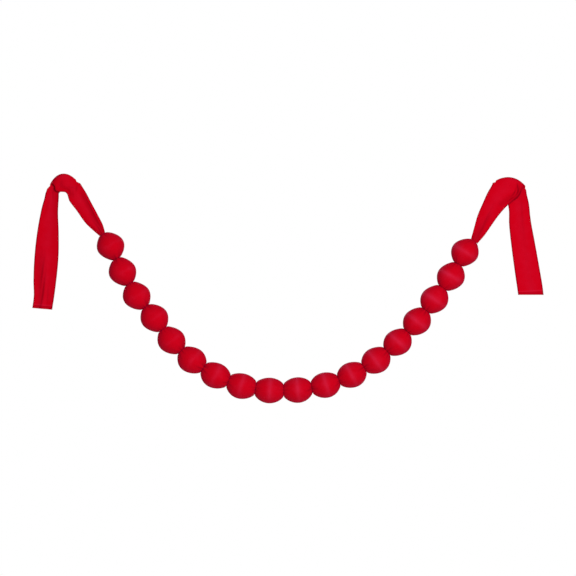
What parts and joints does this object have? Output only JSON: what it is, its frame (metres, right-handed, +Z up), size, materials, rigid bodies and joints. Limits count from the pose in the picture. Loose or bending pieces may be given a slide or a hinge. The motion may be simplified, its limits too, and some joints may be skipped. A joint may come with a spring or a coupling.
{
  "type": "ball garland",
  "caption": "Velvet garland of round padded balls drawn in between tight necks, hung in a swag with a flat ribbon tail folded over a hook at each end.",
  "frame": {"origin": "underside of the left fold, where the cloth bears on its hook", "axes": "+X to the right along the swag from the left hook to the right hook, +Y away from the viewer, +Z up"},
  "size_m": [1.0745, 0.056, 0.482],
  "materials": {
    "ball_velvet": "matte red velvet pile with a soft pink sheen",
    "tail_velvet": "matte red velvet pile, pressed flat"
  },
  "bodies": {
    "root": {"ball_01": "ball_velvet", "ball_02": "ball_velvet", "ball_03": "ball_velvet", "ball_04": "ball_velvet", "ball_05": "ball_velvet", "ball_06": "ball_velvet", "ball_07": "ball_velvet", "ball_08": "ball_velvet", "ball_09": "ball_velvet", "ball_10": "ball_velvet", "ball_11": "ball_velvet", "ball_12": "ball_velvet", "ball_13": "ball_velvet", "ball_14": "ball_velvet", "ball_15": "ball_velvet", "ball_16": "ball_velvet", "ball_17": "ball_velvet", "ball_18": "ball_velvet", "tail_left": "tail_velvet", "tail_right": "tail_velvet"}
  },
  "joints": []
}
